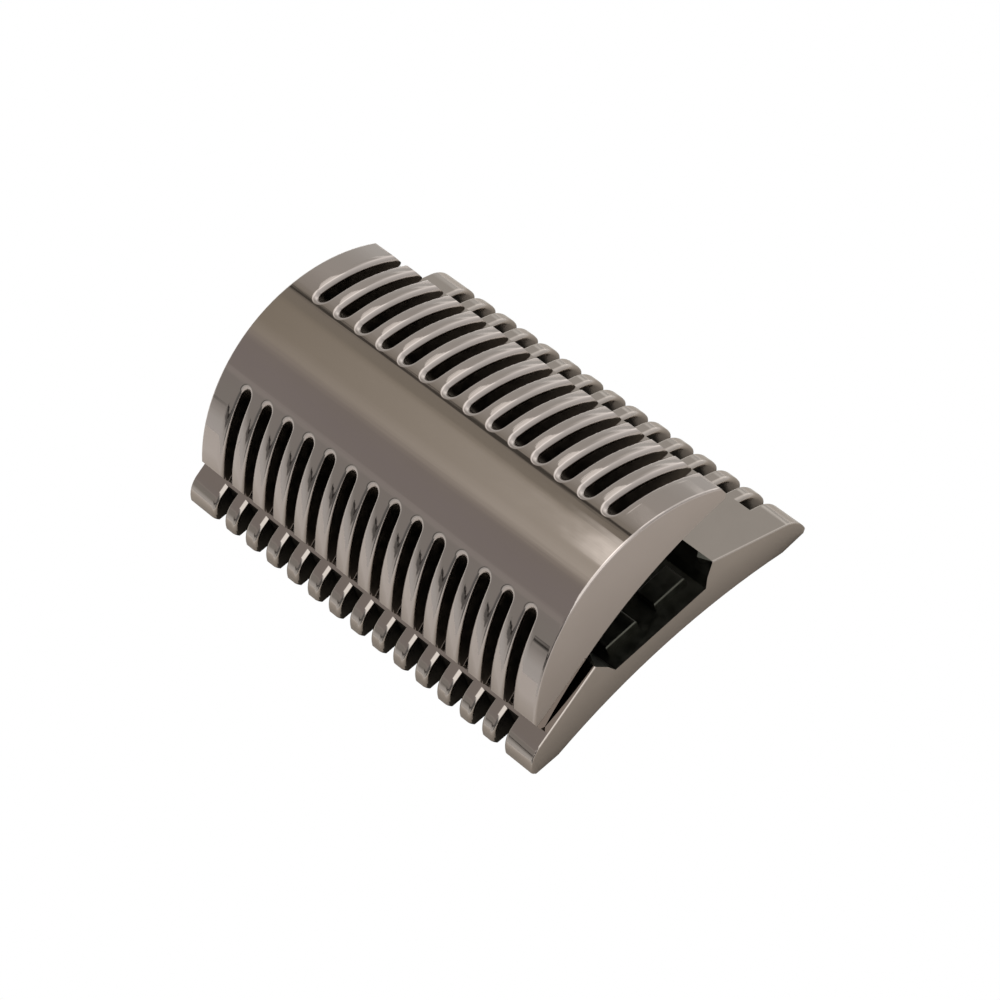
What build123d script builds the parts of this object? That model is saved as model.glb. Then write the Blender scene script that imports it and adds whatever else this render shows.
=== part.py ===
from build123d import *
import os
from math import atan, cos, degrees, radians, sin, sqrt

os.makedirs("parts", exist_ok=True)

# All sizes in millimetres.
# X runs along the head, Y across it, Z up.
# The origin is on the surface the comb tips stand on, midway along and across the base plate.

# Comb spacing, shared by the cap and the plate.
SLOT_COUNT = 14
SLOT_PITCH = 2.70

# Base plate section: each value is a half-width or a height.
PLATE_LENGTH = 43.0
TIP_Y = 14.0
TIP_Z = 0.40
TOE_Y = 13.70
TOE_Z = 0.08
HEEL_Y = 11.5
UNDERSIDE_Z = 1.25
BROW_Y = 12.60
RIDGE_Y = 5.95
RIDGE_Z = 4.80
SLOPE_FALL = 0.397
WALL_Y = 5.05
WALL_Z = 3.80
FLOOR_Y = 4.60
FLOOR_Z = 2.95

# Base plate comb notches.
NOTCH_WIDTH = 1.20
NOTCH_INNER_Y = 11.80
PLATE_TOOTH_ROUND = 0.38
PLATE_END_ROUND = 0.12

# Holes and handle seat in the base plate.
POST_HOLE_RADIUS = 3.80
PIN_HOLE_RADIUS = 1.85
SEAT_RADIUS = 6.25
SEAT_Z = 1.45

# Blade stops: low blocks in the mouths of the channel, and small nibs on the channel walls.
STOP_INNER_X = 17.9
STOP_OUTER_X = 20.0
STOP_NEAR_Y = 0.9
STOP_FAR_Y = 4.0
STOP_TOP_Z = 3.70
STOP_ROUND = 0.15
NIB_INNER_X = 19.85
NIB_PEAK_X = 20.35
NIB_PEAK_Y = 5.45

# Cap section, measured from the crown of the cap.
CAP_LENGTH = 41.7
CROWN_RADIUS = 14.0
CAP_HALF_WIDTH = 10.94
CAP_THICKNESS = 4.93
ARCH_RADIUS = 38.9
LIP_Y = 10.68
LIP_ROUND = 0.30

# Cap slots.
CAP_SLOT_WIDTH = 1.10
CAP_SLOT_INNER_Y = 4.42
CAP_TOOTH_ROUND = 0.42
CAP_UNDER_ROUND = 0.30
CAP_END_ROUND = 0.20

# Threaded post and locating pins, carried by the cap.
POST_RADIUS = 3.20
POST_SOCKET_DEPTH = 2.50
POST_LENGTH = 6.20
THREAD_BORE_RADIUS = 2.10
THREAD_BORE_DEPTH = 5.40
POST_LEAD = 0.30
PIN_RADIUS = 1.40
PIN_X = 11.0
PIN_SOCKET_DEPTH = 2.30
PIN_LENGTH = 5.60
PIN_LEAD = 0.30

# The loose cap: rolled about X, and where its crown line then lies.
CAP_ROLL = 16.0
CAP_Y = -2.85
CAP_Z = 11.80


def slope_z(y):
    # Height of the sloping top face of the plate at a distance y from its middle line.
    return RIDGE_Z - SLOPE_FALL * (abs(y) - RIDGE_Y)


def slot_centres():
    first = -0.5 * (SLOT_COUNT - 1) * SLOT_PITCH
    return [first + i * SLOT_PITCH for i in range(SLOT_COUNT)]


def section_prism(line_points, length):
    # A prism along X from a closed Y-Z outline.
    with BuildPart() as prism:
        with BuildSketch(Plane.YZ):
            with BuildLine():
                for kind, points in line_points:
                    if kind == "arc":
                        ThreePointArc(*points)
                    else:
                        Polyline(*points)
            make_face()
        extrude(amount=length / 2, both=True)
    return prism.part


def slot_cutter(inner_y, outer_y, width, round_ends):
    # Every slot of both combs as tall prisms, with half-round or square inner ends.
    start = inner_y + width / 2 if round_ends else inner_y
    with BuildPart() as cutter:
        with BuildSketch(Plane.XY.offset(-12)):
            for x in slot_centres():
                for side in (-1, 1):
                    with Locations((x, side * (start + outer_y) / 2)):
                        Rectangle(width, outer_y - start)
                    if round_ends:
                        with Locations((x, side * start)):
                            Circle(width / 2)
        extrude(amount=24)
    return cutter.part


def on_end(edge, length):
    return abs(abs(edge.center().X) - length / 2) < 0.01


def nose_arc():
    # An arc that leaves the slope at the brow without a corner and ends at the tip.
    brow = (BROW_Y, slope_z(BROW_Y))
    tip = (TIP_Y, TIP_Z)
    chord_y = tip[0] - brow[0]
    chord_z = tip[1] - brow[1]
    chord = sqrt(chord_y ** 2 + chord_z ** 2)
    fall = degrees(atan(-chord_z / chord_y))
    half_turn = radians(fall - degrees(atan(SLOPE_FALL)))
    bulge = chord / 2 * (1 - cos(half_turn)) / sin(half_turn)
    middle_y = (brow[0] + tip[0]) / 2 - bulge * chord_z / chord
    middle_z = (brow[1] + tip[1]) / 2 + bulge * chord_y / chord
    return [brow, (middle_y, middle_z), tip]


def plate_section():
    nose = nose_arc()
    left_nose = [(-y, z) for y, z in reversed(nose)]
    right_top = [(RIDGE_Y, RIDGE_Z), nose[0]]
    left_top = [(-y, z) for y, z in reversed(right_top)]
    toe = [(TIP_Y, TIP_Z), (TOE_Y, TOE_Z), (HEEL_Y, 0.0)]
    left_toe = [(-y, z) for y, z in reversed(toe)]
    channel = [
        (-RIDGE_Y, RIDGE_Z),
        (-WALL_Y, WALL_Z),
        (-FLOOR_Y, FLOOR_Z),
        (FLOOR_Y, FLOOR_Z),
        (WALL_Y, WALL_Z),
        (RIDGE_Y, RIDGE_Z),
    ]
    return [
        ("line", channel),
        ("line", right_top),
        ("arc", nose),
        ("line", toe),
        ("arc", [(HEEL_Y, 0.0), (0.0, UNDERSIDE_Z), (-HEEL_Y, 0.0)]),
        ("line", left_toe),
        ("arc", left_nose),
        ("line", left_top),
    ]


def is_along_x(edge):
    size = edge.bounding_box().size
    return size.Y < 0.001 and size.Z < 0.001


def comb_top_edges(body):
    # Edges of the sloping faces and the nose faces, which are the upper outside faces of the comb.
    edges = []
    for face in body.faces():
        middle = face.center()
        if abs(middle.Y) > RIDGE_Y and face.area > 0.5 and face.normal_at(middle).Z > 0.3:
            edges.extend(face.edges())
    return edges


def combed_plate():
    # The bare section with its notches cut, and the upper edges of its teeth and ends rounded.
    body = section_prism(plate_section(), PLATE_LENGTH)
    body = body - slot_cutter(NOTCH_INNER_Y, TIP_Y + 1.0, NOTCH_WIDTH, False)
    notch_edges = []
    for edge in comb_top_edges(body):
        beyond_solid = abs((edge @ 0.5).Y) > NOTCH_INNER_Y - 0.01
        if beyond_solid and not is_along_x(edge) and not on_end(edge, PLATE_LENGTH):
            notch_edges.append(edge)
    body = fillet(notch_edges, PLATE_TOOTH_ROUND)
    end_edges = [e for e in comb_top_edges(body) if on_end(e, PLATE_LENGTH)]
    return fillet(end_edges, PLATE_END_ROUND)


def blade_stop():
    stop = Pos(STOP_INNER_X, STOP_NEAR_Y, FLOOR_Z - 0.4) * Box(
        STOP_OUTER_X - STOP_INNER_X,
        STOP_FAR_Y - STOP_NEAR_Y,
        STOP_TOP_Z - FLOOR_Z + 0.4,
        align=(Align.MIN, Align.MIN, Align.MIN),
    )
    top = stop.faces().sort_by(Axis.Z)[-1]
    return fillet(top.edges(), STOP_ROUND)


def wall_nib():
    # A small point on the channel wall, with its top in line with the slope.
    with BuildPart() as nib:
        with BuildSketch(Plane.XY.offset(FLOOR_Z)):
            with BuildLine():
                Polyline(
                    (NIB_INNER_X, RIDGE_Y),
                    (NIB_PEAK_X, NIB_PEAK_Y),
                    (PLATE_LENGTH / 2, RIDGE_Y),
                    (NIB_INNER_X, RIDGE_Y),
                )
            make_face()
        extrude(amount=4.0)
    with BuildPart() as under_slope:
        with BuildSketch(Plane.YZ):
            with BuildLine():
                Polyline(
                    (4.0, 2.0),
                    (4.0, slope_z(4.0)),
                    (7.0, slope_z(7.0)),
                    (7.0, 2.0),
                    (4.0, 2.0),
                )
            make_face()
        extrude(amount=PLATE_LENGTH / 2)
    return nib.part & under_slope.part


def base_plate():
    body = combed_plate()
    for detail in (blade_stop(), wall_nib()):
        for turn in (0, 180):
            body = body + Rot(0, 0, turn) * detail
            body = body + Rot(0, 0, turn) * mirror(detail, Plane.XZ)
    body = body - Cylinder(POST_HOLE_RADIUS, 12.0)
    for side in (-1, 1):
        body = body - Pos(side * PIN_X, 0, 0) * Cylinder(PIN_HOLE_RADIUS, 12.0)
    seat = Cylinder(SEAT_RADIUS, SEAT_Z, align=(Align.CENTER, Align.CENTER, Align.MIN))
    body = body - seat
    return body


def cap_section():
    edge_drop = CROWN_RADIUS - sqrt(CROWN_RADIUS ** 2 - CAP_HALF_WIDTH ** 2)
    lip_drop = CAP_THICKNESS + ARCH_RADIUS - sqrt(ARCH_RADIUS ** 2 - LIP_Y ** 2)
    half = [
        (CAP_HALF_WIDTH, -edge_drop),
        (CAP_HALF_WIDTH, -lip_drop + LIP_ROUND),
        (LIP_Y - 0.10, -lip_drop + 0.02),
    ]
    other = [(-y, z) for y, z in reversed(half)]
    crown = [other[-1], (0.0, 0.0), half[0]]
    arch = [half[-1], (0.0, -CAP_THICKNESS), other[0]]
    return [
        ("arc", crown),
        ("line", half),
        ("arc", arch),
        ("line", other),
    ]


def place_cap(shape):
    return Pos(0, CAP_Y, CAP_Z) * Rot(CAP_ROLL, 0, 0) * shape


def long_slot_edges(face):
    # Edges of a slotted face that run along the slots and round their inner ends.
    edges = face.outer_wire().edges()
    return [e for e in edges if not is_along_x(e) and not on_end(e, CAP_LENGTH)]


def curved_face(body, above):
    # The crown of the cap, or the arch beneath it.
    faces = body.faces().filter_by(GeomType.CYLINDER).sort_by(SortBy.AREA)[-2:]
    faces = sorted(faces, key=lambda f: f.center().Z)
    return faces[-1] if above else faces[0]


def combed_cap():
    # The curved shell with its slots cut and the edges of its teeth and ends softened.
    body = section_prism(cap_section(), CAP_LENGTH)
    body = body - slot_cutter(CAP_SLOT_INNER_Y, CAP_HALF_WIDTH + 1.0, CAP_SLOT_WIDTH, True)
    body = fillet(long_slot_edges(curved_face(body, True)), CAP_TOOTH_ROUND)
    body = fillet(long_slot_edges(curved_face(body, False)), CAP_UNDER_ROUND)
    ends = [e for e in curved_face(body, True).outer_wire().edges() if on_end(e, CAP_LENGTH)]
    return fillet(ends, CAP_END_ROUND)


def top_cap():
    body = combed_cap()
    socket_top = -CAP_THICKNESS + POST_SOCKET_DEPTH
    socket = Cylinder(POST_RADIUS, 6.0, align=(Align.CENTER, Align.CENTER, Align.MAX))
    body = body - Pos(0, 0, socket_top) * socket
    pin_top = -CAP_THICKNESS + PIN_SOCKET_DEPTH
    pin_socket = Cylinder(PIN_RADIUS, 6.0, align=(Align.CENTER, Align.CENTER, Align.MAX))
    for side in (-1, 1):
        body = body - Pos(side * PIN_X, 0, pin_top) * pin_socket
    return place_cap(body)


def turned_pin(radius, length, lead):
    # A plain pin hanging down from its flat top face at z = 0, with a small lead at its lower end.
    pin = Cylinder(radius, length, align=(Align.CENTER, Align.CENTER, Align.MAX))
    rim = pin.edges().filter_by(GeomType.CIRCLE).sort_by(Axis.Z)[0]
    return chamfer(rim, lead)


def threaded_post():
    post = turned_pin(POST_RADIUS, POST_LENGTH, POST_LEAD)
    bore = Cylinder(THREAD_BORE_RADIUS, THREAD_BORE_DEPTH, align=(Align.CENTER, Align.CENTER, Align.MIN))
    post = post - Pos(0, 0, -POST_LENGTH) * bore
    return place_cap(Pos(0, 0, -CAP_THICKNESS + POST_SOCKET_DEPTH) * post)


def locating_pin(side):
    pin = turned_pin(PIN_RADIUS, PIN_LENGTH, PIN_LEAD)
    return place_cap(Pos(side * PIN_X, 0, -CAP_THICKNESS + PIN_SOCKET_DEPTH) * pin)


pieces = {
    "base_plate": base_plate(),
    "top_cap": top_cap(),
    "threaded_post": threaded_post(),
    "locating_pin_left": locating_pin(-1),
    "locating_pin_right": locating_pin(1),
}

for name, shape in pieces.items():
    export_step(shape, f"parts/{name}.step")
    box = shape.bounding_box()
    print(name, "volume", round(shape.volume, 1), "solids", len(shape.solids()), "valid", shape.is_valid)
    print("   from", [round(v, 2) for v in box.min], "to", [round(v, 2) for v in box.max])
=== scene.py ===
import bpy
import math
from mathutils import Matrix, Vector

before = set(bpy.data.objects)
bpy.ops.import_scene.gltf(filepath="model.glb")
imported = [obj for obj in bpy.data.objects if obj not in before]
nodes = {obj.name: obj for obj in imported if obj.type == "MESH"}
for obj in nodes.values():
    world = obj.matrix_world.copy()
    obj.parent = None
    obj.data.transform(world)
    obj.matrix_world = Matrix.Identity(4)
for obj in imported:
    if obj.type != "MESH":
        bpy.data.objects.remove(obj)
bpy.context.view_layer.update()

MM = 0.001
scene = bpy.context.scene
scene.view_settings.view_transform = "Standard"


# ---------------------------------------------------------------- node helpers
def new_material(name):
    mat = bpy.data.materials.new(name)
    mat.use_nodes = True
    tree = mat.node_tree
    return mat, tree, tree.nodes["Principled BSDF"]


def math_node(tree, operation, a, b=None, c=None, clamp=False):
    node = tree.nodes.new("ShaderNodeMath")
    node.operation = operation
    node.use_clamp = clamp
    for slot, value in enumerate((a, b, c)):
        if value is None:
            continue
        if isinstance(value, (int, float)):
            node.inputs[slot].default_value = value
        else:
            tree.links.new(value, node.inputs[slot])
    return node.outputs[0]


def vector_node(tree, operation, a, b=None, out="Vector"):
    node = tree.nodes.new("ShaderNodeVectorMath")
    node.operation = operation
    for slot, value in enumerate((a, b)):
        if value is None:
            continue
        if isinstance(value, (tuple, Vector)):
            node.inputs[slot].default_value = value
        else:
            tree.links.new(value, node.inputs[slot])
    return node.outputs[out]


def soft_step(tree, value, low, high, out_low=0.0, out_high=1.0):
    node = tree.nodes.new("ShaderNodeMapRange")
    node.interpolation_type = "SMOOTHSTEP"
    node.inputs["From Min"].default_value = low
    node.inputs["From Max"].default_value = high
    node.inputs["To Min"].default_value = out_low
    node.inputs["To Max"].default_value = out_high
    tree.links.new(value, node.inputs["Value"])
    return node.outputs["Result"]


def noise(tree, vector, scale, detail=3.0):
    node = tree.nodes.new("ShaderNodeTexNoise")
    node.inputs["Scale"].default_value = scale
    node.inputs["Detail"].default_value = detail
    tree.links.new(vector, node.inputs["Vector"])
    return node.outputs["Fac"]


def uneven(tree, vector, scale, low, high):
    # A value that wanders between low and high over the surface.
    return soft_step(tree, noise(tree, vector, scale), 0.3, 0.7, low, high)


def object_place(tree):
    return tree.nodes.new("ShaderNodeTexCoord").outputs["Object"]


def split(tree, vector):
    node = tree.nodes.new("ShaderNodeSeparateXYZ")
    tree.links.new(vector, node.inputs[0])
    return node.outputs


def stretched(tree, vector, scale):
    node = tree.nodes.new("ShaderNodeMapping")
    node.inputs["Scale"].default_value = scale
    tree.links.new(vector, node.inputs["Vector"])
    return node.outputs["Vector"]


def rolled(tree, vector, angle):
    # The vector turned about X.
    node = tree.nodes.new("ShaderNodeVectorRotate")
    node.rotation_type = "X_AXIS"
    node.inputs["Angle"].default_value = angle
    tree.links.new(vector, node.inputs["Vector"])
    return node.outputs["Vector"]


def bumped(tree, height, normal=None):
    node = tree.nodes.new("ShaderNodeBump")
    node.inputs["Strength"].default_value = 0.12
    node.inputs["Distance"].default_value = 0.02 * MM
    tree.links.new(height, node.inputs["Height"])
    if normal is not None:
        tree.links.new(normal, node.inputs["Normal"])
    return node.outputs["Normal"]


def set_tone(tree, shader, factor, dark, light):
    # The base colour goes from dark to light with the factor.
    tone = tree.nodes.new("ShaderNodeMix")
    tone.data_type = "RGBA"
    tone.inputs["A"].default_value = (*dark, 1.0)
    tone.inputs["B"].default_value = (*light, 1.0)
    tree.links.new(factor, tone.inputs["Factor"])
    tree.links.new(tone.outputs["Result"], shader.inputs["Base Color"])


def fill_ramp(ramp, colours):
    # The stops of a colour ramp, from pairs of position and colour.
    stops = ramp.color_ramp.elements
    while len(stops) > 1:
        stops.remove(stops[-1])
    for i, (position, colour) in enumerate(colours):
        stop = stops[0] if i == 0 else stops.new(position)
        stop.position = position
        stop.color = (*colour, 1.0)


# ---------------------------------------------------------------- materials
# Sizes in mm. The cap lies rolled about X, so its crown and slots are found in its own upright frame.
SLOT_PITCH = 2.70
SLOT_HALF_WIDTH = 0.55
SLOT_START = 4.97
CAP_EDGE_ROUND = 0.42
LAST_SLOT_X = 17.55
CROWN_RADIUS = 14.0
CROWN_HALF_LENGTH = 20.64
CROWN_HALF_WIDTH = 10.93
CAP_ROLL = math.radians(16.0)
CAP_CROWN = Vector((0.0, -2.85, 11.80))
cap_upright = Matrix.Rotation(-CAP_ROLL, 3, "X")

# The teeth of the cap bow this much (as a slope) at the edges of their flats, from BOW_FROM_Y out.
TOOTH_BOW = 0.13
BOW_FROM_Y = SLOT_START - 0.2
BOW_FULL_Y = SLOT_START + 0.8
# The crown's formula takes over where its normal and the mesh's agree at least this well.
MATCH_LOW = 0.66
MATCH_HIGH = 0.74
BELOW_ROUND = 0.1
# Two small lengths that keep the formula from dividing by zero and from losing its direction.
LEAST_FROM_SLOT = 0.01
LEAST_RISE = 0.001

POLISH_STRETCH = (0.02, 1.0, 1.0)
CAP_STRETCH = (0.35, 1.0, 1.0)
NO_STRETCH = (1.0, 1.0, 1.0)

# Where along Y the polishing of the notch walls, and the fading of their painted shade, begins and is full,
# and their roughness either side.
POLISH_OUT_OF_SHADE_FROM_Y = 12.45
POLISH_OUT_OF_SHADE_FULL_Y = 12.95
NOTCH_DULL = 0.38
NOTCH_POLISHED = 0.12


def crown_normal(tree, place):
    # The true slope of the round crown and of the rounded slot edges, from the place on the cap.
    def calc(operation, a, b=None, c=None):
        return math_node(tree, operation, a, b, c)

    in_mm = vector_node(tree, "MULTIPLY", place, (1.0 / MM, 1.0 / MM, 1.0 / MM))
    x, y, z = split(tree, rolled(tree, vector_node(tree, "SUBTRACT", in_mm, CAP_CROWN), -CAP_ROLL))
    out_x = calc("ABSOLUTE", x)
    out_y = calc("ABSOLUTE", y)
    up = calc("ADD", z, CROWN_RADIUS)
    reach = calc("SQRT", calc("MULTIPLY_ADD", y, y, calc("MULTIPLY", up, up)))

    # Distance from the middle line of the nearest slot, whose round end is centred at SLOT_START.
    phase = calc("FRACT", calc("DIVIDE", x, SLOT_PITCH))
    across = calc("MULTIPLY", calc("SUBTRACT", phase, 0.5), SLOT_PITCH)
    short = calc("MAXIMUM", calc("SUBTRACT", SLOT_START, out_y), 0.0)
    from_slot = calc("SQRT", calc("MULTIPLY_ADD", across, across, calc("MULTIPLY", short, short)))
    past_last = calc("SUBTRACT", out_x, LAST_SLOT_X)
    from_slot = calc("MAXIMUM", from_slot, past_last)

    # How far the rounded edge leans towards the slot, and how far it still faces outwards.
    inside = calc("SUBTRACT", SLOT_HALF_WIDTH + CAP_EDGE_ROUND, from_slot)
    lean = calc("DIVIDE", calc("MAXIMUM", inside, 0.0), calc("MAXIMUM", from_slot, LEAST_FROM_SLOT))
    rise = calc("MAXIMUM", calc("SUBTRACT", reach, CROWN_RADIUS - CAP_EDGE_ROUND), LEAST_RISE)
    rise = calc("DIVIDE", rise, reach)
    slide = calc("MULTIPLY", calc("MULTIPLY", lean, short), calc("SIGN", y))

    # Polishing has bowed the teeth between the slots very slightly.
    half_flat = SLOT_PITCH / 2 - SLOT_HALF_WIDTH - CAP_EDGE_ROUND
    tooth_phase = calc("FRACT", calc("ADD", calc("DIVIDE", x, SLOT_PITCH), 0.5))
    from_middle = calc("MULTIPLY", calc("SUBTRACT", tooth_phase, 0.5), SLOT_PITCH / half_flat)
    from_middle = calc("MAXIMUM", calc("MINIMUM", from_middle, 1.0), -1.0)
    on_tooth = calc(
        "MULTIPLY",
        soft_step(tree, out_y, BOW_FROM_Y, BOW_FULL_Y, 0.0, TOOTH_BOW),
        calc("LESS_THAN", past_last, SLOT_PITCH / 2),
    )
    bow = calc("MULTIPLY", calc("MULTIPLY", on_tooth, from_middle), rise)

    slope = tree.nodes.new("ShaderNodeCombineXYZ")
    slope_x = calc("SUBTRACT", calc("MULTIPLY", bow, CROWN_RADIUS), calc("MULTIPLY", lean, across))
    tree.links.new(slope_x, slope.inputs[0])
    tree.links.new(calc("MULTIPLY_ADD", rise, y, slide), slope.inputs[1])
    tree.links.new(calc("MULTIPLY", rise, up), slope.inputs[2])
    to_world = tree.nodes.new("ShaderNodeVectorTransform")
    to_world.vector_type = "VECTOR"
    to_world.convert_from = "OBJECT"
    to_world.convert_to = "WORLD"
    tree.links.new(rolled(tree, slope.outputs["Vector"], CAP_ROLL), to_world.inputs["Vector"])
    exact = vector_node(tree, "NORMALIZE", to_world.outputs["Vector"])

    # Only the crown takes it, where it roughly agrees with the mesh. Other faces keep their shading.
    mesh_normal = tree.nodes.new("ShaderNodeNewGeometry").outputs["Normal"]
    match = vector_node(tree, "DOT_PRODUCT", exact, mesh_normal, "Value")
    on_crown = soft_step(tree, match, MATCH_LOW, MATCH_HIGH)
    on_crown = calc("MULTIPLY", on_crown, calc("LESS_THAN", out_x, CROWN_HALF_LENGTH))
    on_crown = calc("MULTIPLY", on_crown, calc("LESS_THAN", out_y, CROWN_HALF_WIDTH))
    lowest = CROWN_RADIUS - CAP_EDGE_ROUND - BELOW_ROUND
    on_crown = calc("MULTIPLY", on_crown, calc("GREATER_THAN", reach, lowest))
    pick = tree.nodes.new("ShaderNodeMix")
    pick.data_type = "VECTOR"
    tree.links.new(on_crown, pick.inputs["Factor"])
    tree.links.new(mesh_normal, pick.inputs["A"])
    tree.links.new(exact, pick.inputs["B"])
    return pick.outputs["Result"]


def plated_metal(name, dark, light, roughness, stretch, normal=None):
    # Dark polished plating with faint mottling and a slightly uneven, hand-polished surface.
    mat, tree, shader = new_material(name)
    place = object_place(tree)
    vector = stretched(tree, place, stretch)
    set_tone(tree, shader, noise(tree, vector, 260.0), dark, light)
    gloss = uneven(tree, vector, 900.0, roughness * 0.8, roughness * 1.25)
    tree.links.new(gloss, shader.inputs["Roughness"])
    polished = None
    if normal:
        # Very fine marks along X, left by polishing.
        marks = noise(tree, stretched(tree, place, POLISH_STRETCH), 3500.0, 2.0)
        polished = bumped(tree, marks, normal(tree, place))
    surface = bumped(tree, noise(tree, vector, 700.0, 2.0), polished)
    tree.links.new(surface, shader.inputs["Normal"])
    shader.inputs["Metallic"].default_value = 1.0
    return mat


def painted_shade_recess_metal(name, tint, roughness):
    # Painted shade: an almost black colour stands in for the shade on the walls inside the slots and the
    # channel. They took little polishing, so they are rougher too.
    mat, tree, shader = new_material(name)
    place = object_place(tree)
    dark = [0.6 * c for c in tint]
    light = [1.5 * c for c in tint]
    set_tone(tree, shader, noise(tree, place, 500.0), dark, light)
    rough = uneven(tree, place, 1400.0, roughness * 0.8, roughness * 1.2)
    tree.links.new(rough, shader.inputs["Roughness"])
    shader.inputs["Metallic"].default_value = 1.0
    return mat


def painted_shade_notch_wall_metal(name):
    # Walls of the comb notches: dull and near-black with painted shade inside, polished and in the plate's
    # colour towards the +Y tips.
    mat, tree, shader = new_material(name)
    place = object_place(tree)
    polished_out_of_shade = soft_step(tree, split(tree, place)[1], POLISH_OUT_OF_SHADE_FROM_Y * MM, POLISH_OUT_OF_SHADE_FULL_Y * MM)
    set_tone(tree, shader, polished_out_of_shade, (0.045, 0.040, 0.033), (0.264, 0.236, 0.213))
    mottle = uneven(tree, place, 900.0, 0.0, 0.06)
    rough = math_node(tree, "MULTIPLY_ADD", polished_out_of_shade, NOTCH_POLISHED - NOTCH_DULL, NOTCH_DULL)
    tree.links.new(math_node(tree, "ADD", rough, mottle), shader.inputs["Roughness"])
    shader.inputs["Metallic"].default_value = 1.0
    return mat


def paint(node, metals, choose=None):
    # The first metal goes over a piece, and choose picks another by its place for some faces.
    mesh = nodes[node].data
    mesh.materials.clear()
    for mat in metals:
        mesh.materials.append(mat)
    if choose is None:
        return
    to_world = nodes[node].matrix_world
    for face in mesh.polygons:
        middle = to_world @ face.center / MM
        normal = to_world.to_3x3() @ face.normal
        face.material_index = choose(middle, normal.normalized())


# A face is a wall when its normal leans up or down by less than this.
WALL_LEAN = 0.12
# The part of the cap that has slots, and how near to a slot's middle line its walls lie.
SLOTTED_HALF_LENGTH = 20.0
SLOTTED_HALF_WIDTH = 10.8
NEAR_SLOT = 0.62
# The inner ends of the plate's notches lie between these two distances from the middle line.
NOTCH_FROM_Y = 11.7
NOTCH_END_Y = 11.9
COMB_HALF_LENGTH = 21.0
CHANNEL_HALF_LENGTH = 21.45
CHANNEL_HALF_WIDTH = 5.94
CHANNEL_ABOVE_Z = 2.0


def cap_choice(middle, normal):
    place = cap_upright @ (middle - CAP_CROWN)
    facing = cap_upright @ normal
    off_slot = abs((place.x / SLOT_PITCH) % 1.0 - 0.5) * SLOT_PITCH
    slotted = abs(place.x) < SLOTTED_HALF_LENGTH and abs(place.y) < SLOTTED_HALF_WIDTH
    in_slot = slotted and abs(facing.z) < WALL_LEAN and off_slot < NEAR_SLOT
    underside = facing.z < -0.4 and place.z < -4.0
    # Slot walls and the cap's underside get the near-black painted shade.
    return 1 if in_slot or underside else 0


def plate_choice(middle, normal):
    wall = abs(normal.z) < WALL_LEAN
    out_y = abs(middle.y)
    in_comb = abs(middle.x) < COMB_HALF_LENGTH and out_y > NOTCH_FROM_Y
    in_notch = wall and in_comb and abs(normal.x) > 0.5
    notch_end = wall and abs(normal.y) > 0.9 and NOTCH_FROM_Y < out_y < NOTCH_END_Y
    # Notch walls get the notch material, with painted shade inside the notches.
    if in_notch or notch_end:
        return 2
    in_channel = out_y < CHANNEL_HALF_WIDTH and abs(middle.x) < CHANNEL_HALF_LENGTH
    # The channel gets the near-black painted shade.
    return 1 if in_channel and middle.z > CHANNEL_ABOVE_Z else 0


CAP_TONES = ((0.258, 0.229, 0.210), (0.282, 0.252, 0.234))
PLATE_TONES = ((0.248, 0.222, 0.200), (0.280, 0.250, 0.226))
SMALL_PART_TONES = ((0.24, 0.21, 0.19), (0.27, 0.24, 0.215))

cap_metal = plated_metal("cap_metal", *CAP_TONES, 0.05, CAP_STRETCH, crown_normal)
plate_metal = plated_metal("plate_metal", *PLATE_TONES, 0.08, NO_STRETCH)
post_metal = plated_metal("post_metal", *SMALL_PART_TONES, 0.18, NO_STRETCH)
pin_metal = plated_metal("pin_metal", *SMALL_PART_TONES, 0.18, NO_STRETCH)
# Near-black painted shade for the slot walls, the cap's underside and the channel.
slot_painted_shade_metal = painted_shade_recess_metal("slot_painted_shade_metal", (0.042, 0.034, 0.026), 0.45)
channel_painted_shade_metal = painted_shade_recess_metal("channel_painted_shade_metal", (0.045, 0.045, 0.037), 0.38)
notch_painted_shade_metal = painted_shade_notch_wall_metal("notch_painted_shade_metal")
paint("top_cap", (cap_metal, slot_painted_shade_metal), cap_choice)
paint("base_plate", (plate_metal, channel_painted_shade_metal, notch_painted_shade_metal), plate_choice)
paint("threaded_post", (post_metal,))
paint("locating_pin_left", (pin_metal,))
paint("locating_pin_right", (pin_metal,))

# Broad faces set the shading along their rounded edges, so the reflections run cleanly.
for node in nodes.values():
    even = node.modifiers.new("even_shading", "WEIGHTED_NORMAL")
    even.mode = "FACE_AREA"
    even.weight = 80


# ---------------------------------------------------------------- floor
# A white sweep: it looks pure white, and lights the metal as a matt surface with a painted shadow round the
# head.
HEAD_HALF_LENGTH = 21.0 * MM
HEAD_HALF_WIDTH = 13.0 * MM
SHADOW_REACH = 25.0 * MM
# Distance from the head as a share of SHADOW_REACH, and how light the floor's painted shadow leaves it
# there.
SHADOW = ((0.0, 0.22), (0.04, 0.40), (0.12, 0.54), (0.32, 0.66), (0.80, 0.80))

floor_mat, floor_tree, floor_shader = new_material("floor")
floor_shader.inputs["Roughness"].default_value = 1.0
floor_place = split(floor_tree, object_place(floor_tree))


def floor_math(operation, a, b=None, c=None, clamp=False):
    return math_node(floor_tree, operation, a, b, c, clamp)


def past_edge(value, half_size):
    # How far a place on the floor is past the edge of the head, along one axis.
    return floor_math("MAXIMUM", floor_math("SUBTRACT", floor_math("ABSOLUTE", value), half_size), 0.0)


def shadow_tone(at, level):
    # The painted shadow is slightly brown, least so where it fades out.
    return (level, level * (0.94 + 0.05 * at), level * (0.86 + 0.12 * at))


past_x = past_edge(floor_place[0], HEAD_HALF_LENGTH)
past_y = past_edge(floor_place[1], HEAD_HALF_WIDTH)
past = floor_math("SQRT", floor_math("MULTIPLY_ADD", past_x, past_x, floor_math("MULTIPLY", past_y, past_y)))

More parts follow.
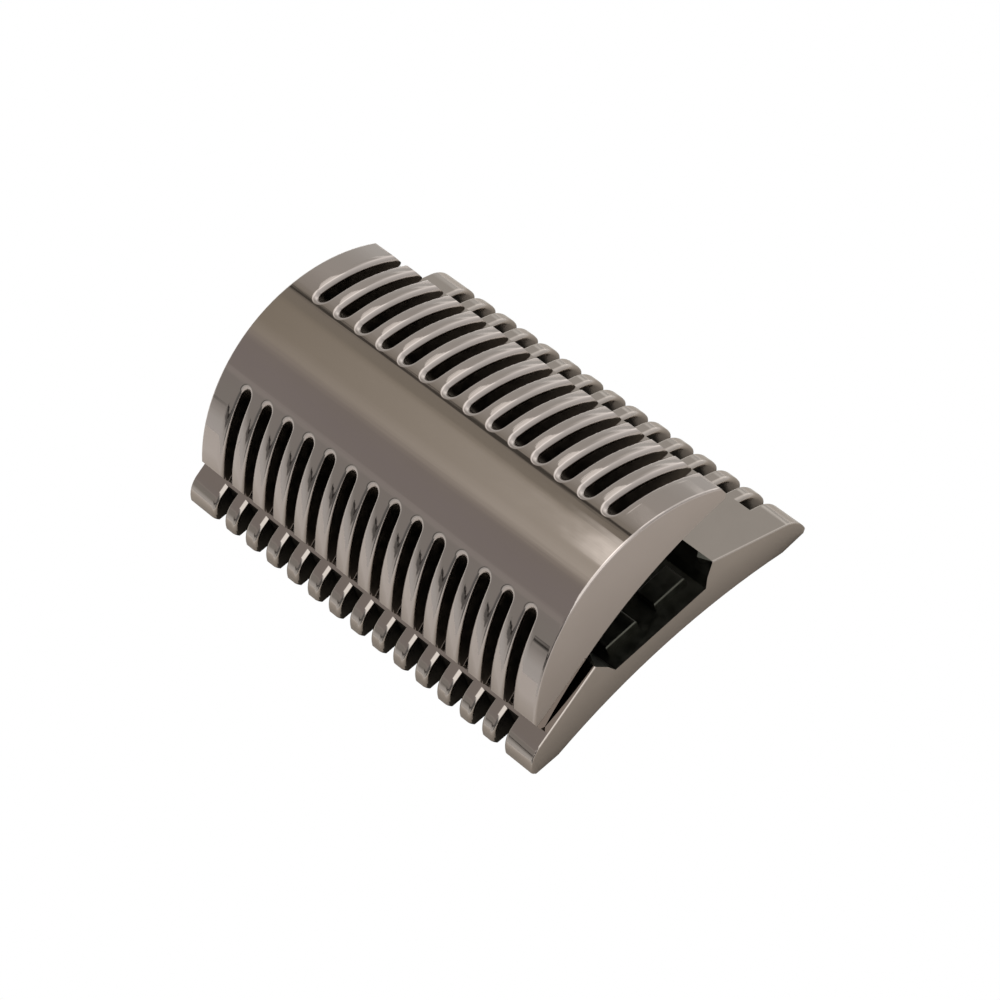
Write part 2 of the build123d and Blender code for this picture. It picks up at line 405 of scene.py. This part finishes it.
# A painted shadow: the floor's colour darkens under and round the head, and the polished metal mirrors it as
# a soft shadow.
shadow = floor_tree.nodes.new("ShaderNodeValToRGB")
floor_tree.links.new(floor_math("DIVIDE", past, SHADOW_REACH, clamp=True), shadow.inputs["Fac"])
fill_ramp(shadow, [(at, shadow_tone(at, level)) for at, level in SHADOW])
floor_tree.links.new(shadow.outputs["Color"], floor_shader.inputs["Base Color"])

# Looked at directly, the floor is plain white.
glow = floor_tree.nodes.new("ShaderNodeEmission")
glow.inputs["Color"].default_value = (1.0, 1.0, 1.0, 1.0)
glow.inputs["Strength"].default_value = 1.0
seen = floor_tree.nodes.new("ShaderNodeMixShader")
direct = floor_tree.nodes.new("ShaderNodeLightPath").outputs["Is Camera Ray"]
floor_tree.links.new(direct, seen.inputs["Fac"])
floor_tree.links.new(floor_shader.outputs["BSDF"], seen.inputs[1])
floor_tree.links.new(glow.outputs["Emission"], seen.inputs[2])
floor_tree.links.new(seen.outputs["Shader"], floor_tree.nodes["Material Output"].inputs["Surface"])
bpy.ops.mesh.primitive_plane_add(size=4.0, location=(0, 0, 0))
floor = bpy.context.object
floor.name = "floor"
floor.data.materials.append(floor_mat)


# ---------------------------------------------------------------- light
# A white sweep, grey studio walls and long overhead strips that run along X. Most are broad and
# soft. The narrow ones are placed for the camera below, and give the fine lines on the cap.
world = bpy.data.worlds.new("studio")
scene.world = world
world.use_nodes = True
studio = world.node_tree
background = studio.nodes["Background"]
aim_x, aim_y, aim_z = split(studio, studio.nodes.new("ShaderNodeTexCoord").outputs["Generated"])


def light_math(operation, a, b=None, c=None, clamp=False):
    return math_node(studio, operation, a, b, c, clamp)


def product(*terms):
    result = terms[0]
    for term in terms[1:]:
        result = light_math("MULTIPLY", result, term)
    return result


def total(*terms):
    result = terms[0]
    for term in terms[1:]:
        result = light_math("ADD", result, term)
    return result


def step_up(value, low, high):
    return soft_step(studio, value, low, high)


def step_down(value, low, high):
    return soft_step(studio, value, low, high, 1.0, 0.0)


def between(value, a, b, c, d):
    # Rises from a to b and falls from c to d.
    return product(step_up(value, a, b), step_down(value, c, d))


def opposite(mask):
    return light_math("SUBTRACT", 1.0, mask)


def dimmed(mask, amount):
    # 1 outside the mask, and less by the amount where the mask is full.
    return light_math("MULTIPLY_ADD", mask, -amount, 1.0)


def colour_mix(kind, factor, a, b):
    node = studio.nodes.new("ShaderNodeMix")
    node.data_type = "RGBA"
    node.blend_type = kind
    for name, value in (("Factor", factor), ("A", a), ("B", b)):
        if isinstance(value, float):
            node.inputs[name].default_value = value
        else:
            studio.links.new(value, node.inputs[name])
    return node.outputs["Result"]


# The angle round the X axis in degrees: 0 to the far side, 90 straight up, 180 to the near side.
angle = light_math("MULTIPLY", light_math("ARCTAN2", aim_z, aim_y), math.degrees(1.0))
# Angle, brightness, and the green and blue of the light there against its red.
BANDS = (
    (0, 1.10, 1.00, 0.98),
    (8, 1.12, 1.00, 0.98),
    (20, 1.00, 0.99, 0.96),
    (30, 0.95, 0.98, 0.94),
    (45, 0.98, 0.97, 0.93),
    (62, 0.84, 0.96, 0.90),
    (67, 0.66, 0.94, 0.84),
    (71, 0.60, 0.92, 0.80),
    (78, 0.60, 0.92, 0.78),
    (81, 0.68, 0.91, 0.76),
    (98, 0.68, 0.91, 0.76),
    (106, 0.80, 0.92, 0.80),
    (110, 0.72, 0.92, 0.84),
    (114, 0.60, 0.92, 0.88),
    (124, 0.60, 0.92, 0.91),
    (134, 0.61, 0.93, 0.91),
    (136, 0.73, 0.94, 0.92),
    (138, 0.73, 0.95, 0.92),
    (140, 0.63, 0.96, 0.93),
    (157, 0.64, 0.98, 0.94),
    (160, 0.76, 0.98, 0.95),
    (164, 0.90, 0.98, 0.96),
    (167, 0.98, 0.99, 0.97),
    (171, 1.12, 1.00, 0.99),
    (180, 1.20, 1.00, 1.00),
)
# The ramp holds the bands at half their brightness, and the mix for shaded doubles it again.
RAMP_SHARE = 0.5
band_colours = []
for degrees, level, green, blue in BANDS:
    stored = level * RAMP_SHARE
    band_colours.append((degrees / 180.0, (stored, stored * green, stored * blue)))
ramp = studio.nodes.new("ShaderNodeValToRGB")
ramp.color_ramp.interpolation = "LINEAR"
fill_ramp(ramp, band_colours)
studio.links.new(light_math("DIVIDE", angle, 180.0, clamp=True), ramp.inputs["Fac"])

# A narrow dark gap between the lights on the far side, and dark edges low on the near side.
gap = between(angle, 67.4, 68.8, 70.0, 71.4)
# To the camera, only the end tooth of the cap at +X mirrors this narrow part of the room.
end_tooth = between(aim_x, -0.6170, -0.6150, -0.606, -0.600)
not_end_tooth = opposite(end_tooth)
right_of_middle = product(step_up(aim_x, -0.70, -0.52), not_end_tooth)
near_gap = product(between(angle, 155.5, 160.0, 162.5, 165.5), right_of_middle)
near_end = product(between(angle, 154.2, 156.0, 157.2, 158.8), step_up(aim_x, -0.616, -0.612))
thin_line = product(
    between(angle, 157.8, 158.8, 159.4, 160.4),
    between(aim_x, -0.690, -0.687, -0.677, -0.675),
)
shade = product(dimmed(gap, 0.78), dimmed(near_gap, 0.64), dimmed(near_end, 0.88), dimmed(thin_line, 0.60))

# Extra light on top of the bands: strips that brighten towards +X, and panels at the far side.
toward_x = light_math("MULTIPLY", light_math("ADD", aim_x, 0.680), 6.0, clamp=True)
overhead = product(between(angle, 77.0, 84.0, 104.0, 112.0), toward_x)
patch = product(between(angle, 74.0, 77.0, 92.0, 98.0), step_up(aim_x, -0.6155, -0.6105))
# To the camera, the far panel and the low strip stop short of the two end teeth of the cap.
panel_reach = product(step_up(aim_x, -0.672, -0.62), not_end_tooth)
# The upper edge of the far panel slants up towards +X, as far as 65 degrees.
far_edge = light_math("MINIMUM", light_math("MULTIPLY_ADD", aim_x, 120.0, 131.5), 65.0)
below_edge = step_down(light_math("SUBTRACT", angle, far_edge), 0.0, 3.0)
far_panel = product(step_up(angle, 46.5, 49.0), below_edge, panel_reach)
low_strip = product(between(angle, 9.0, 12.0, 14.5, 18.0), panel_reach)
low_right = product(between(angle, 4.0, 14.0, 28.0, 38.0), step_up(aim_x, -0.60, -0.48))
extra = total(
    overhead,
    product(patch, 1.35),
    product(far_panel, 1.10),
    product(low_strip, 0.60),
    product(low_right, 0.45),
)

# The +X side of the room: a large window, between a dark wall on the -Y side and a light one at +Y.
raised = light_math("MULTIPLY_ADD", aim_z, 0.30, aim_y)
in_window = product(step_up(raised, -0.36, -0.24), step_up(aim_z, 0.02, 0.20))
window = light_math("MULTIPLY_ADD", in_window, 2.30, 0.30)
light_wall = light_math("MULTIPLY_ADD", light_math("MAXIMUM", aim_x, 0.0), -0.85, 1.75)
far = step_up(aim_y, 0.10, 0.45)
right_side = total(product(window, opposite(far)), product(light_wall, far))
# It starts further towards +X on the near side than on the far side.
shifted = light_math("MULTIPLY_ADD", step_down(aim_y, -0.62, -0.42), -0.75, aim_x)
shifted = light_math("MULTIPLY_ADD", step_up(aim_y, -0.30, 0.20), 0.14, shifted)
to_right = step_up(shifted, -0.42, -0.08)

shaded = colour_mix("MULTIPLY", 1.0, ramp.outputs["Color"], product(shade, 1.0 / RAMP_SHARE))
room = colour_mix("MIX", to_right, shaded, right_side)
lit = colour_mix("ADD", 1.0, room, product(extra, step_down(aim_x, -0.20, 0.15)))
studio.links.new(lit, background.inputs["Color"])
background.inputs["Strength"].default_value = 1.0


# ---------------------------------------------------------------- camera
# A long lens above the +X end, a little to the near side. The place is in mm and the angles in
# degrees: the azimuth from +X towards +Y, and the roll about the camera's own axis.
CAMERA_PLACE = Vector((218.775, -84.168, 256.406))
CAMERA_AZIMUTH = -21.3341
CAMERA_ELEVATION = 47.4296
CAMERA_ROLL = -25.2542

camera_data = bpy.data.cameras.new("camera")
camera_data.sensor_width = 36.0
camera_data.lens = 163.0
camera_data.clip_start = 0.01
camera_data.clip_end = 10.0
camera = bpy.data.objects.new("camera", camera_data)
scene.collection.objects.link(camera)
towards = Matrix.Rotation(math.radians(90.0 + CAMERA_AZIMUTH), 4, "Z")
tilted = Matrix.Rotation(math.radians(90.0 - CAMERA_ELEVATION), 4, "X")
turned = Matrix.Rotation(math.radians(CAMERA_ROLL), 4, "Z")
camera.matrix_world = Matrix.Translation(CAMERA_PLACE * MM) @ towards @ tilted @ turned
scene.camera = camera
